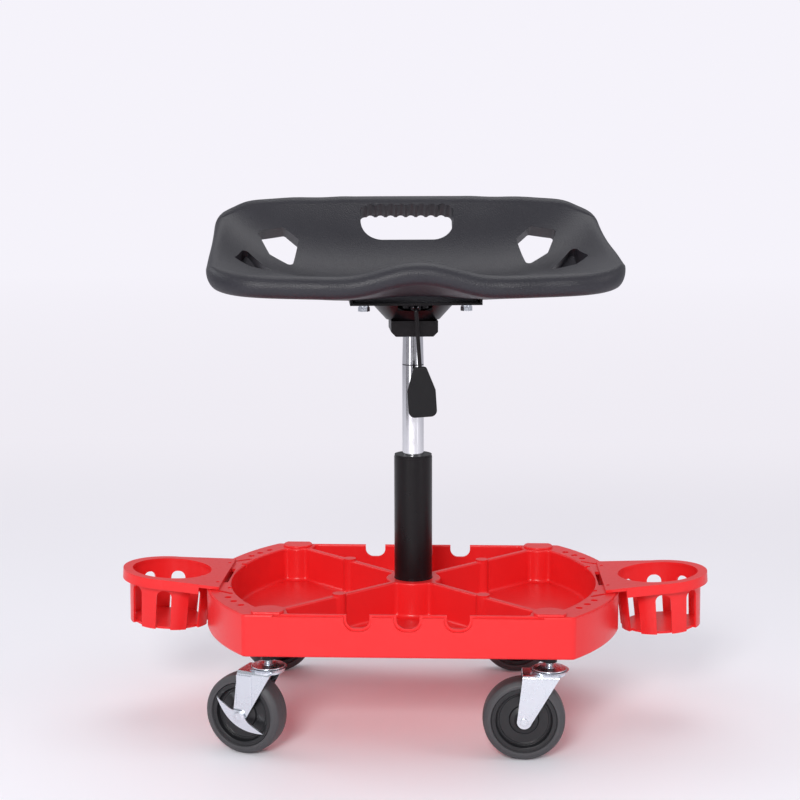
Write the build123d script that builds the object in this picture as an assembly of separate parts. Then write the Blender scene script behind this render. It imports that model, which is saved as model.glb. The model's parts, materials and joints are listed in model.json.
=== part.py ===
from build123d import *
import math
import os

# Detailing stool: a moulded tool tray on four swivel casters, a gas lift column and a wide seat.
# Millimetres, +Z up, +Y to the back, the origin on the floor under the lift column.

# Driving dimensions of the base
wheel_diameter = 101.6
tray_underside = 131.0
tray_height = 50.0
tray_radius = 272.0
tray_side_radius = 294.0
tray_depth = 382.0
mount_x = 172.5
mount_y = 177.0

# Driving dimensions of the lift
column_diameter = 50.0
column_length = 213.0
cylinder_diameter = 28.0
lift_travel = 115.0
lift_shown = 122.0

# Driving dimensions of the seat
seat_half_width = 260.5
seat_thickness = 28.0
seat_profile_length = 364.0
seat_turn = 5.5

# Running and seating clearances
run_clearance = 0.05
loose_clearance = 0.3
rest_clearance = 0.4

# One overrun for every cut
overrun = 1.0

tray_rim = tray_underside + tray_height
column_top = tray_underside + column_length
taper_foot = column_top + lift_shown
side_centre = tray_side_radius - tray_radius
mount_reach = math.hypot(mount_x, mount_y)
mount_angle = math.degrees(math.atan2(mount_y, mount_x))
corner_signs = [(-1, -1), (1, -1), (1, 1), (-1, 1)]
half = 0.5


def ring(outer, inner, height):
    """Flat ring standing on z = 0."""
    return extrude(Circle(outer) - Circle(inner), height)


def rod(radius, low, high):
    """Upright round bar between two heights."""
    return Pos(0, 0, low) * extrude(Circle(radius), high - low)


def at_mounts(piece):
    """The same piece at each of the four caster mounts."""
    return [Pos(sx * mount_x, sy * mount_y, 0) * piece for sx, sy in corner_signs]


def hex_prism(across_flats, height):
    """Hexagon nut or bolt head standing on z = 0."""
    return extrude(RegularPolygon(across_flats * half, 6, major_radius=False), height)


# Tray: one moulding with four compartments, tool holes in the side rims and notches front and back
wall = 4.0
floor_thickness = 4.0
crease_radius = 8.0
foot_fillet = 3.0
lip_fillet = 2.5
edge_fillet = 2.2
compartment_fillet = 6.0
floor_fillet = 5.0
skirt_drop = 3.5
skirt_clearance = 0.4
side_rim_width = 32.0
front_wall = 8.0
divider_width = 9.0
hub_radius = 36.0
mount_boss_radius = 24.0
mid_boss_radius = 8.5
mid_boss_rise = 2.0
mid_boss_share = 0.53
pocket_face = 258.0
pocket_width = 120.0
pocket_fillet = 5.0
ledge_length = 330.0
ledge_depth = 3.5
ledge_drop = 3.0
notch_width = 28.0
notch_depth = 17.0
notch_corner = 11.0
notch_spacing = 61.0
tool_hole = 9.0
tool_hole_angles = [25.6, 30.3, 35.0]
tool_slot_length = 25.0
tool_slot_width = 5.5
tool_slot_x = 238.0
tool_slot_y = 86.0
tool_slot_angle = -35.0
hook_slot_width = 12.0
hook_slot_length = 72.0
step_length = 7.0
step_depth = 6.0
stem_hole = 10.6
stem_nut_well = 20.6
stem_nut_well_depth = 16.0
column_hole_clearance = 0.5

rim_inner_radius = tray_side_radius - side_rim_width
skirt_foot = tray_underside - skirt_drop
compartment_depth = tray_height - floor_thickness
hook_slot_outer = pocket_face - wall
hook_slot_middle = hook_slot_outer - hook_slot_width * half
tool_hole_circle = tray_radius - side_rim_width * half


def between_sides(radius):
    """Lens between the two side arcs of the tray, drawn to a radius about their own centres."""
    return Pos(-side_centre, 0) * Circle(radius) & Pos(side_centre, 0) * Circle(radius)


def tray_plan():
    """Two side arcs cut off by the front and back flats, with rounded creases."""
    plan = between_sides(tray_side_radius) & Rectangle(2 * tray_radius, tray_depth)
    return fillet(plan.vertices(), crease_radius)


def tray_blank():
    """Outer body of the tray with its rounded foot and lip."""
    blank = Pos(0, 0, skirt_foot) * extrude(tray_plan(), tray_height + skirt_drop)
    blank = fillet(blank.faces().sort_by(Axis.Z)[0].edges(), foot_fillet)
    return fillet(blank.faces().sort_by(Axis.Z)[-1].edges(), lip_fillet)


def side_walls(margin):
    """Strips at the two sides where the outer wall steps in behind the cup holders, with a margin."""
    width = tray_radius - pocket_face + margin
    strip = Rectangle(width, pocket_width + 2 * margin)
    x = tray_radius - width * half
    return Pos(x, 0) * strip + Pos(-x, 0) * strip


def underside_recess():
    """Space below the floor inside the short skirt, widened round the ends of the frame's arms."""
    plan = between_sides(tray_side_radius - wall) & Rectangle(2 * tray_radius, tray_depth - 2 * wall)
    plan -= side_walls(wall)
    for sx, sy in corner_signs:
        plan += Pos(sx * mount_x, sy * mount_y) * Circle(frame_arm_width * half + skirt_clearance)
    return Pos(0, 0, skirt_foot - overrun) * extrude(plan, skirt_drop + overrun)


def holder_pockets():
    """Flat recesses in the two sides, where the cup holders stand."""
    width = tray_radius - pocket_face + overrun
    plan = Rectangle(width, pocket_width)
    inner = [v for v in plan.vertices() if v.X < 0]
    plan = fillet(inner, pocket_fillet)
    height = tray_height + skirt_drop + 2 * overrun
    block = Pos(pocket_face + width * half, 0, skirt_foot - overrun) * extrude(plan, height)
    return [block, Rot(0, 0, 180) * block]


def compartments():
    """Open space of the four compartments between the rim, the dividers, the hub and the bosses."""
    inner_depth = tray_depth - 2 * front_wall
    space = between_sides(rim_inner_radius) & Rectangle(2 * rim_inner_radius, inner_depth)
    space -= Circle(hub_radius)
    for sy in (-1, 1):
        space -= Rot(0, 0, sy * mount_angle) * Rectangle(2 * mount_reach, divider_width)
    for sx, sy in corner_signs:
        space -= Pos(sx * mount_x, sy * mount_y) * Circle(mount_boss_radius)
        space -= Pos(sx * mount_x * mid_boss_share, sy * mount_y * mid_boss_share) * Circle(mid_boss_radius)
    space = fillet(space.vertices(), compartment_fillet)
    floor_height = tray_underside + floor_thickness
    block = Pos(0, 0, floor_height) * extrude(space, compartment_depth + overrun)
    return fillet(block.edges().group_by(Axis.Z)[0], floor_fillet)


def side_channels():
    """Hollow under each side rim, open below, into which the tools hang."""
    plan = between_sides(tray_side_radius - wall) - between_sides(rim_inner_radius + wall)
    plan &= Rectangle(2 * tray_radius, 2 * (mount_y - mount_boss_radius) - 2 * wall)
    plan -= side_walls(wall)
    depth = tray_height - wall + overrun
    return Pos(0, 0, tray_underside - overrun) * extrude(plan, depth)


def rim_holes():
    """Round tool holes, flat tool slots and hook slots through the side rims, and the two inner steps."""
    depth = wall + 2 * overrun
    low = tray_rim - wall - overrun
    holes = []
    for angle in tool_hole_angles:
        x = tool_hole_circle * math.cos(math.radians(angle))
        y = tool_hole_circle * math.sin(math.radians(angle))
        for sx, sy in corner_signs:
            holes.append(Pos(sx * x, sy * y, low) * extrude(Circle(tool_hole * half), depth))
    for sx, sy in corner_signs:
        slot = extrude(SlotOverall(tool_slot_length, tool_slot_width), depth)
        turned = Rot(0, 0, sx * sy * tool_slot_angle) * slot
        holes.append(Pos(sx * tool_slot_x, sy * tool_slot_y, low) * turned)
        step = extrude(Rectangle(2 * step_depth, step_length), depth)
        y = pocket_width * half + step_length * half
        x = math.sqrt(rim_inner_radius**2 - y**2) - side_centre
        holes.append(Pos(sx * x, sy * y, low) * step)
    for sx in (-1, 1):
        slot = extrude(Rectangle(hook_slot_width, hook_slot_length), depth)
        holes.append(Pos(sx * hook_slot_middle, 0, low) * slot)
    return holes


def notch_profile(margin, extra):
    """Notch seen from the front: square at the top, rounded at the bottom, widened by a margin."""
    width = notch_width + 2 * margin
    depth = notch_depth + margin
    profile = Pos(0, (extra - depth) * half) * Rectangle(width, depth + extra)
    low = profile.vertices().sort_by(Axis.Y)[:2]
    return fillet(low, notch_corner + margin)


def wall_notches():
    """Three notches through the front wall and three through the back one, each with a stepped lip."""
    cuts = []
    face = -tray_depth * half
    inner = Plane(origin=(0, face + front_wall + overrun, tray_rim), x_dir=(1, 0, 0), z_dir=(0, -1, 0))
    ledge = Plane(origin=(0, face + ledge_depth, tray_rim), x_dir=(1, 0, 0), z_dir=(0, -1, 0))
    through = front_wall + 2 * overrun
    shallow = ledge_depth + overrun
    strip = Pos(0, (overrun - ledge_drop) * half) * Rectangle(ledge_length, ledge_drop + overrun)
    cuts.append(extrude(ledge * strip, shallow))
    for index in (-1, 0, 1):
        place = Pos(index * notch_spacing, 0)
        cuts.append(extrude(inner * place * notch_profile(0, overrun), through))
        cuts.append(extrude(ledge * place * notch_profile(ledge_depth, overrun), shallow))
    return cuts + [Rot(0, 0, 180) * cut for cut in cuts]


def make_tray():
    """The whole tray."""
    tray = tray_blank() - compartments()
    top = tray.faces().sort_by(Axis.Z)[-1]
    tray = fillet([edge for wire in top.inner_wires() for edge in wire.edges()], edge_fillet)
    tray -= underside_recess()
    tray -= side_channels()
    for cut in holder_pockets() + rim_holes() + wall_notches():
        tray -= cut
    boss_top = tray_rim + mid_boss_rise
    for sx, sy in corner_signs:
        boss = rod(mid_boss_radius, tray_underside + floor_thickness, boss_top)
        tray += Pos(sx * mount_x * mid_boss_share, sy * mount_y * mid_boss_share, 0) * boss
    tray -= rod(column_diameter * half + column_hole_clearance, tray_underside - overrun, tray_rim + overrun)
    for cut in at_mounts(rod(stem_hole * half, tray_underside - overrun, tray_rim + overrun)):
        tray -= cut
    for cut in at_mounts(rod(stem_nut_well * half, tray_rim - stem_nut_well_depth, tray_rim + overrun)):
        tray -= cut
    return tray


# Corner caps: four discs that plug the nut wells over the caster stems
cap_radius = 20.5
cap_height = 3.0
cap_fillet = 1.6
cap_inset = 0.8
cap_spigot_height = 4.0


def make_corner_caps():
    """Four caps, each a disc cut flush with the front or back wall and a short spigot in its well."""
    spigot = rod(stem_nut_well * half - run_clearance, tray_rim - cap_spigot_height, tray_rim)
    caps = []
    for sx, sy in corner_signs:
        plan = Pos(sx * mount_x, sy * mount_y) * Circle(cap_radius)
        plan &= Rectangle(2 * tray_radius, tray_depth - 2 * cap_inset)
        disc = Pos(0, 0, tray_rim) * extrude(plan, cap_height)
        disc = fillet(disc.faces().sort_by(Axis.Z)[-1].edges(), cap_fillet)
        caps.append(disc + Pos(sx * mount_x, sy * mount_y, 0) * spigot)
    return caps


# Base frame: a pressed steel cross under the tray that ties the column to the four casters
frame_height = 9.0
frame_arm_width = 18.0
frame_sheet = 2.0
frame_hub_radius = 36.0
frame_hub_hole = 14.0

frame_underside = tray_underside - frame_height


def make_base_frame():
    """Cross of two channels with a round hub and rounded ends."""
    frame = Circle(frame_hub_radius)
    for sy in (-1, 1):
        frame += Rot(0, 0, sy * mount_angle) * Rectangle(2 * mount_reach, frame_arm_width)
    for sx, sy in corner_signs:
        frame += Pos(sx * mount_x, sy * mount_y) * Circle(frame_arm_width * half)
    frame = Pos(0, 0, frame_underside) * extrude(frame, frame_height)
    channel_length = mount_reach - frame_hub_radius - frame_arm_width
    channel_middle = frame_hub_radius + channel_length * half
    channel_width = frame_arm_width - 2 * frame_sheet
    channel = extrude(Rectangle(channel_length, channel_width), frame_height - frame_sheet + overrun)
    for sx, sy in corner_signs:
        angle = math.degrees(math.atan2(sy * mount_y, sx * mount_x))
        frame -= Rot(0, 0, angle) * Pos(channel_middle, 0, frame_underside - overrun) * channel
    for cut in at_mounts(rod(stem_hole * half, frame_underside - overrun, tray_underside + overrun)):
        frame -= cut
    return frame - rod(frame_hub_hole, frame_underside - overrun, tray_underside + overrun)


# Column: steel tube with a closed foot, and the plastic bush that guides the gas cylinder
column_wall = 2.0
column_foot = 3.0
rod_diameter = 10.0
bush_length = 70.0
bush_flange = 3.0
bush_flange_radius = 24.4

foot_top = tray_underside + column_foot


def make_column():
    """Tube that stands on the frame's hub, with a plate across its foot."""
    tube = rod(column_diameter * half, tray_underside, column_top)
    tube -= rod(column_diameter * half - column_wall, foot_top, column_top + overrun)
    return tube - rod(rod_diameter * half + loose_clearance, tray_underside - overrun, foot_top + overrun)


def make_column_bush():
    """Sleeve inside the top of the column, with a flange on the column's end."""
    sleeve = rod(column_diameter * half - column_wall - run_clearance, column_top - bush_length, column_top)
    flange = rod(bush_flange_radius, column_top, column_top + bush_flange)
    bore = rod(cylinder_diameter * half + run_clearance, column_top - bush_length - overrun,
               column_top + bush_flange + overrun)
    return sleeve + flange - bore


# Lift rod: it stands on a thrust bearing on the column's foot and is held by a clip below
bearing_radius = 15.0
bearing_washer = 1.2
bearing_cage = 3.4
bearing_cage_inner = 6.8
bearing_cage_outer = 13.5
rod_collar_radius = 8.0
rod_collar_height = 6.0
piston_clearance = 0.4
piston_height = 15.0
clip_gap = 1.2
clip_thickness = 1.4
clip_radius = 9.0
groove_depth = 1.0
rod_tail = 2.6
cylinder_wall = 1.5
travel_spare = 1.0
cylinder_gland = 6.0
piston_reach = 4.0

collar_foot = foot_top + 2 * bearing_washer + bearing_cage
cylinder_foot = collar_foot + rod_collar_height + lift_travel + travel_spare
piston_foot = cylinder_foot + cylinder_gland + piston_reach
clip_top = tray_underside - clip_gap
clip_foot = clip_top - clip_thickness


def make_lift_rod():
    """Piston rod with its collar, piston and clip groove."""
    low = clip_foot - rod_tail
    stem = rod(rod_diameter * half, low, piston_foot + piston_height)
    stem += rod(rod_collar_radius, collar_foot, collar_foot + rod_collar_height)
    piston_radius = cylinder_diameter * half - cylinder_wall - piston_clearance
    stem += rod(piston_radius, piston_foot, piston_foot + piston_height)
    groove = Pos(0, 0, clip_foot) * ring(rod_diameter, rod_diameter * half - groove_depth, clip_thickness)
    return stem - groove


def make_bearing_washers():
    """Two hardened washers, one below and one above the ball cage."""
    washer = ring(bearing_radius, rod_diameter * half + run_clearance, bearing_washer)
    return [Pos(0, 0, foot_top) * washer, Pos(0, 0, collar_foot - bearing_washer) * washer]


def make_bearing_cage():
    """Ball cage of the thrust bearing, as one ring."""
    return Pos(0, 0, foot_top + bearing_washer) * ring(bearing_cage_outer, bearing_cage_inner, bearing_cage)


def make_rod_clip():
    """Spring clip in the rod's groove under the column's foot, open at the front."""
    inner = rod_diameter * half - groove_depth
    clip = Pos(0, 0, clip_foot) * ring(clip_radius, inner + run_clearance, clip_thickness)
    mouth = Pos(0, -clip_radius * half, clip_foot - overrun) * extrude(
        Rectangle(inner, clip_radius), clip_thickness + 2 * overrun)
    return clip - mouth


# Gas cylinder: the chrome tube that slides in the bush, with a taper on top
taper_angle = 1.43
taper_length = 70.0
cylinder_closed = 8.0
pin_diameter = 7.0
pin_hole_clearance = 0.2
pin_depth = 33.0
pin_rise = 5.5
pin_travel = 4.5
pin_hole_spare = 5.5
pin_edge_fillet = 1.1

taper_top = taper_foot + taper_length
taper_top_radius = cylinder_diameter * half - taper_length * math.tan(math.radians(taper_angle))
pin_foot = taper_top - pin_depth
pin_top = taper_top + pin_rise


def make_gas_cylinder():
    """Tube closed at both ends, with a tapered top bored for the release pin."""
    outer = cylinder_diameter * half
    gland_top = cylinder_foot + cylinder_gland
    body = rod(outer, cylinder_foot, taper_foot)
    body -= rod(outer - cylinder_wall, gland_top, taper_foot - cylinder_closed)
    body -= rod(rod_diameter * half + run_clearance, cylinder_foot - overrun, gland_top + overrun)
    body += Pos(0, 0, taper_foot + taper_length * half) * Cone(outer, taper_top_radius, taper_length)
    pin_hole = pin_diameter * half + pin_hole_clearance
    return body - rod(pin_hole, pin_foot - pin_travel - pin_hole_spare, taper_top + overrun)


def make_release_pin():
    """Button on top of the gas cylinder that the lever presses."""
    pin = rod(pin_diameter * half, pin_foot, pin_top)
    return fillet(pin.edges().sort_by(Axis.Z)[-1], pin_edge_fillet)


# Seat mechanism: taper socket, pressed housing and dish under a steel plate
socket_radius = 19.0
socket_length = 32.0
housing_width = 60.0
housing_depth = 74.0
housing_height = 20.0
housing_sheet = 2.5
housing_chamfer = 6.0
housing_foot_above = 39.0
dish_radius = 56.0
dish_foot_radius = 35.0
dish_sheet = 2.0
dish_height = 23.0
plate_width = 166.0
plate_depth = 150.0
plate_thickness = 3.0
plate_lug = 8.0
bolt_pattern_x = 65.0
bolt_pattern_y = 50.0
bolt_diameter = 8.0
bolt_head = 13.0
bolt_head_height = 5.3
bolt_grip = 14.0
flat_washer_radius = 8.5
flat_washer = 1.6
spring_washer_radius = 6.6
spring_washer = 2.0
insert_radius = 6.0

housing_foot = taper_foot + housing_foot_above
housing_top = housing_foot + housing_height
plate_foot = housing_top + dish_height
plate_top = plate_foot + plate_thickness
socket_top = housing_foot + socket_length


def taper_radius(height):
    """Radius of the cylinder's taper at a height."""
    return cylinder_diameter * half - (height - taper_foot) * math.tan(math.radians(taper_angle))


def make_taper_socket():
    """Steel tube whose bore fits the taper."""
    low_bore = taper_radius(housing_foot) + run_clearance
    high_bore = taper_radius(socket_top) + run_clearance
    socket = rod(socket_radius, housing_foot, socket_top)
    middle = (housing_foot + socket_top) * half
    return socket - Pos(0, 0, middle) * Cone(low_bore, high_bore, socket_length)


def make_lift_housing():
    """Pressed box round the socket, open above, with its lower side edges bevelled."""
    middle = (housing_foot + housing_top) * half
    box = Pos(0, 0, middle) * Box(housing_width, housing_depth, housing_height)
    low_sides = box.edges().filter_by(Axis.Y).sort_by(Axis.Z)[:2]
    box = chamfer(low_sides, housing_chamfer)
    inner_height = housing_height - housing_sheet
    inner = Box(housing_width - 2 * housing_sheet, housing_depth - 2 * housing_sheet, inner_height)
    inner = chamfer(inner.edges().filter_by(Axis.Y).sort_by(Axis.Z)[:2], housing_chamfer - housing_sheet)
    box -= Pos(0, 0, housing_top - inner_height * half) * inner
    return box - rod(socket_radius, housing_foot - overrun, housing_top + overrun)


# Lever: a bent rod that presses the release pin when its paddle is pulled forward
lever_rod_diameter = 5.0
lever_pivot_y = 56.0
lever_bend_y = 64.0
lever_bend_radius = 6.0
lever_tip_past_pin = 6.0
lever_drop = 75.4
lever_lean = 3.7
lever_pin_diameter = 3.0
paddle_narrow = 16.0
paddle_wide = 36.0
paddle_length = 64.0
paddle_taper_length = 30.0
paddle_thickness = 6.0
paddle_low_corner = 8.0
paddle_top_corner = 4.0
paddle_edge_fillet = 1.5
paddle_grip = 12.0
ear_thickness = 2.5
ear_gap = 1.0
ear_depth = 12.0
ear_drop = 7.0
ear_flange = 11.0
ear_flange_sheet = 2.0
bracket_screw_head = 8.0
bracket_screw_height = 2.8
dish_notch_width = 44.0
dish_notch_depth = 9.0
dish_notch_front = 42.0

lever_height = pin_top + rest_clearance + lever_rod_diameter * half
ear_inner = lever_rod_diameter * half + ear_gap
paddle_top = lever_height - lever_drop


def make_mount_dish():
    """Shallow steel dish between the housing and the plate, notched at the front for the lever."""
    outer = Cone(dish_foot_radius, dish_radius, dish_height)
    inner_foot = dish_foot_radius - dish_sheet
    inner = Pos(0, 0, dish_sheet) * Cone(inner_foot, dish_radius - dish_sheet, dish_height)
    dish = Pos(0, 0, housing_top + dish_height * half) * (outer - inner)
    notch_long = dish_radius - dish_notch_front + overrun
    notch = Box(dish_notch_width, notch_long, dish_notch_depth + overrun)
    notch_z = plate_foot - dish_notch_depth + (dish_notch_depth + overrun) * half
    dish -= Pos(0, -dish_notch_front - notch_long * half, notch_z) * notch
    return dish - rod(socket_radius, housing_top - overrun, socket_top)


def make_seat_plate():
    """Steel plate with turned-up ends and four bolt holes."""
    plate = Pos(0, 0, (plate_foot + plate_top) * half) * Box(plate_width, plate_depth, plate_thickness)
    lug = Box(plate_thickness, plate_depth, plate_lug)
    for sx in (-1, 1):
        plate += Pos(sx * (plate_width - plate_thickness) * half, 0, plate_top + plate_lug * half) * lug
    hole = rod(bolt_diameter * half + loose_clearance, plate_foot - overrun, plate_top + overrun)
    for sx, sy in corner_signs:
        plate -= Pos(sx * bolt_pattern_x, sy * bolt_pattern_y, 0) * hole
    return plate


def at_bolts(piece):
    """The same piece at each of the four seat bolts."""
    return [Pos(sx * bolt_pattern_x, sy * bolt_pattern_y, 0) * piece for sx, sy in corner_signs]


def make_flat_washers():
    """Flat washers against the plate."""
    washer = ring(flat_washer_radius, bolt_diameter * half + run_clearance, flat_washer)
    return at_bolts(Pos(0, 0, plate_foot - flat_washer) * washer)


def make_spring_washers():
    """Split spring washers under the bolt heads."""
    inner = bolt_diameter * half + run_clearance
    washer = ring(spring_washer_radius, inner, spring_washer)
    split_plan = Rectangle(spring_washer_radius, spring_washer * half)
    split = Pos(spring_washer_radius, 0, 0) * extrude(split_plan, spring_washer)
    return at_bolts(Pos(0, 0, plate_foot - flat_washer - spring_washer) * (washer - split))


def make_seat_bolts():
    """Hexagon bolts, heads down, that run into the inserts."""
    head_top = plate_foot - flat_washer - spring_washer
    head = Pos(0, 0, head_top - bolt_head_height) * hex_prism(bolt_head, bolt_head_height)
    return at_bolts(head + rod(bolt_diameter * half, head_top, plate_top + bolt_grip))


def make_seat_inserts():
    """Threaded inserts moulded into the seat's pad."""
    insert = rod(insert_radius, plate_top, plate_top + bolt_grip)
    insert -= rod(bolt_diameter * half + run_clearance, plate_top - overrun, plate_top + bolt_grip + overrun)
    return at_bolts(insert)


def make_lever_bracket():
    """Two ears with outward flanges under the plate that carry the lever's pin."""
    bracket = []
    for sx in (-1, 1):
        ear_x = sx * (ear_inner + ear_thickness * half)
        ear = Box(ear_thickness, ear_depth, ear_drop)
        ear = Pos(ear_x, -lever_pivot_y, plate_foot - ear_drop * half) * ear
        flange_x = sx * (ear_inner + ear_thickness + ear_flange * half)
        flange = Pos(flange_x, -lever_pivot_y, plate_foot - ear_flange_sheet * half) * Box(
            ear_flange, ear_depth, ear_flange_sheet)
        pin_hole = Pos(0, -lever_pivot_y, lever_height) * Rot(0, 90, 0) * Cylinder(
            lever_pin_diameter * half, 2 * (ear_inner + ear_thickness) + overrun)
        bracket.append(ear + flange - pin_hole)
    return bracket


def make_bracket_screws():
    """Two small hexagon screws that hold the bracket's flanges."""
    screws = []
    for sx in (-1, 1):
        x = sx * (ear_inner + ear_thickness + ear_flange * half)
        z = plate_foot - ear_flange_sheet - bracket_screw_height
        screws.append(Pos(x, -lever_pivot_y, z) * hex_prism(bracket_screw_head, bracket_screw_height))
    return screws


def make_lever_pin():
    """Pin through the ears and the lever."""
    length = 2 * (ear_inner + ear_thickness)
    return Pos(0, -lever_pivot_y, lever_height) * Rot(0, 90, 0) * Cylinder(lever_pin_diameter * half, length)


def lever_leaned(piece):
    """Lean a piece below the lever's bend to the right, about the bend."""
    from_bend = Pos(0, lever_bend_y, -lever_height) * piece
    return Pos(0, -lever_bend_y, lever_height) * Rot(0, -lever_lean, 0) * from_bend


def make_lever_rod():
    """Round rod from over the release pin to the front, bent down to the paddle."""
    drop = lever_drop + paddle_grip
    lean = math.radians(lever_lean)
    start = (0, lever_tip_past_pin, lever_height)
    corner = (0, -lever_bend_y, lever_height)
    end = (drop * math.sin(lean), -lever_bend_y, lever_height - drop * math.cos(lean))
    path = FilletPolyline(start, corner, end, radius=lever_bend_radius)
    section = Plane(origin=start, z_dir=(0, -1, 0)) * Circle(lever_rod_diameter * half)
    body = sweep(section, path=path)
    pin_hole = Pos(0, -lever_pivot_y, lever_height) * Rot(0, 90, 0) * Cylinder(
        lever_pin_diameter * half + run_clearance, 2 * lever_rod_diameter)
    return body - pin_hole


def make_lever_paddle():
    """Flat plastic paddle pushed on the rod, narrow above and wide below."""
    low = paddle_top - paddle_length
    shoulder = paddle_top - paddle_taper_length
    face = Plane(origin=(0, -lever_bend_y - paddle_thickness * half, 0), x_dir=(1, 0, 0), z_dir=(0, 1, 0))
    outline = Polyline(
        (-paddle_narrow * half, -paddle_top),
        (paddle_narrow * half, -paddle_top),
        (paddle_wide * half, -shoulder),
        (paddle_wide * half, -low),
        (-paddle_wide * half, -low),
        (-paddle_wide * half, -shoulder),
        close=True,
    )
    plan = make_face(outline)
    plan = fillet(plan.vertices().sort_by(Axis.Y)[:2], paddle_top_corner)
    plan = fillet(plan.vertices().sort_by(Axis.Y)[-2:], paddle_low_corner)
    paddle = extrude(face * plan, paddle_thickness)
    paddle = fillet(paddle.edges().group_by(Axis.Y)[0], paddle_edge_fillet)
    socket = rod(lever_rod_diameter * half + run_clearance, paddle_top - paddle_grip, paddle_top + overrun)
    return lever_leaned(paddle - Pos(0, -lever_bend_y, 0) * socket)


# Seat shell: a thick dished pan with a raised back, hand slots and a mounting pad
front_reach = 151.0
front_height = 576.0
first_heading = -5.4
last_heading = 68.2
turn_start_share = 0.33
bump_height = 20.0
bump_half_width = 95.0
bump_fade_share = 0.42
side_lift = 55.3
side_lift_front = 7.2
side_lift_drop = 22.3
side_lift_skew = 1.34
side_lift_power = 3.9
front_corner_side = 74.3
front_corner_length = 70.4
back_corner_side = 52.0
back_corner_length = 105.0
profile_points = 13
profile_steps = 120
end_gap = 0.15
rim_gap_shares = [0.0, 0.08, 0.21, 0.42, 0.68, 1.0]
corner_gap_shares = [0.12, 0.27, 0.45, 0.68, 1.0]
bump_station_shares = [1.0, 0.75, 0.5, 0.25]
pad_width = 156.0
pad_depth = 130.0
pad_height = 17.0
handle_width = 127.0
handle_low_share = 0.795
handle_high_share = 0.95
handle_heading = 54.0
handle_low_corner = 30.0
handle_high_corner = 7.0
finger_count = 8
finger_radius = 7.0
finger_depth = 2.5
pan_recess_clearance = 0.6
slot_corner = 5.0
inner_slot_heading = 62.0
inner_slot_shares = [(0.782, 0.80), (0.645, 0.845), (0.567, 0.785), (0.60, 0.583), (0.715, 0.65)]
outer_slot_heading = 59.0
outer_slot_shares = [(0.88, 0.42), (0.845, 0.62), (0.68, 0.41), (0.80, 0.345)]


def seat_line():
    """Middle line of the pan in its centre plane, as points from the front to the back."""
    step = seat_profile_length / profile_steps
    y = -front_reach
    z = front_height
    points = [(y, z, first_heading)]
    for index in range(profile_steps):
        share = (index + half) / profile_steps
        turn = min(max((share - turn_start_share) / (1 - turn_start_share), 0), 1)
        heading = first_heading + (last_heading - first_heading) * turn * turn * (3 - 2 * turn)
        y += step * math.cos(math.radians(heading))
        z += step * math.sin(math.radians(heading))
        points.append((y, z, heading))
    return points


line_points = seat_line()


def seat_lift_at(x, share):
    """How far the pan stands above its centre line: the front bump and the raised sides."""
    lift = 0.0
    if abs(x) < bump_half_width and share < bump_fade_share:
        across = math.cos(math.pi * half * x / bump_half_width) ** 2
        lift += bump_height * across * (1 - share / bump_fade_share) ** 2
    across = (abs(x) / seat_half_width) ** side_lift_power
    along = side_lift * math.sin(math.pi * share**side_lift_skew)
    along += side_lift_front * (1 - share) - side_lift_drop * share**3
    return lift + across * along


def seat_middle(x, share):
    """Point of the pan's middle surface, and its heading, at a station and a share of the profile."""
    place = share * profile_steps
    index = min(int(place), profile_steps - 1)
    part = place - index
    y0, z0, h0 = line_points[index]
    y1, z1, h1 = line_points[index + 1]
    y = y0 + (y1 - y0) * part
    z = z0 + (z1 - z0) * part + seat_lift_at(x, share)
    return y, z, h0 + (h1 - h0) * part


def seat_half_thickness(x):
    """Half thickness at a station, rounded off towards the sides."""
    radius = seat_thickness * half
    gap = seat_half_width - abs(x)
    if gap >= radius:
        return radius
    return math.sqrt(radius**2 - (radius - gap) ** 2)


def seat_ends(x):
    """Shares of the profile where the pan's round ends are centred at a station, drawn in at the corners."""
    gap = seat_half_width - abs(x)
    start = 0.0
    stop = 1.0
    if gap < front_corner_side:
        across = (front_corner_side - gap) / front_corner_side
        start = front_corner_length * (1 - math.sqrt(1 - across**2)) / seat_profile_length
    if gap < back_corner_side:
        across = (back_corner_side - gap) / back_corner_side
        stop = 1 - back_corner_length * (1 - math.sqrt(1 - across**2)) / seat_profile_length
    end = seat_half_thickness(x) / seat_profile_length
    return start + end, stop - end


def seat_section(x):
    """Closed section of the pan at a station: two long faces and two round ends."""
    start, stop = seat_ends(x)
    thick = seat_half_thickness(x)
    upper = []
    lower = []
    for index in range(profile_points):
        share = start + (stop - start) * index / (profile_points - 1)
        y, z, heading = seat_middle(x, share)
        ny = -math.sin(math.radians(heading))
        nz = math.cos(math.radians(heading))
        upper.append((x, y + thick * ny, z + thick * nz))
        lower.append((x, y - thick * ny, z - thick * nz))
    y, z, heading = seat_middle(x, start)
    front = (x, y - thick * math.cos(math.radians(heading)), z - thick * math.sin(math.radians(heading)))
    y, z, heading = seat_middle(x, stop)
    back = (x, y + thick * math.cos(math.radians(heading)), z + thick * math.sin(math.radians(heading)))
    edges = [
        Spline(*upper),
        ThreePointArc(upper[-1], back, lower[-1]),
        Spline(*reversed(lower)),
        ThreePointArc(lower[0], front, upper[0]),
    ]
    return make_face(Wire(edges))


def seat_stations():
    """Stations across the seat, closer together at the sides and over the front bump."""
    radius = seat_thickness * half
    gaps = [end_gap + (radius - end_gap) * share for share in rim_gap_shares]
    gaps += [radius + (front_corner_side - radius) * share for share in corner_gap_shares]
    side = [seat_half_width - gap for gap in gaps]
    side += [(side[-1] + bump_half_width) * half]
    side += [bump_half_width * share for share in bump_station_shares]
    return [-x for x in side] + [0.0] + side[::-1]


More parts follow.
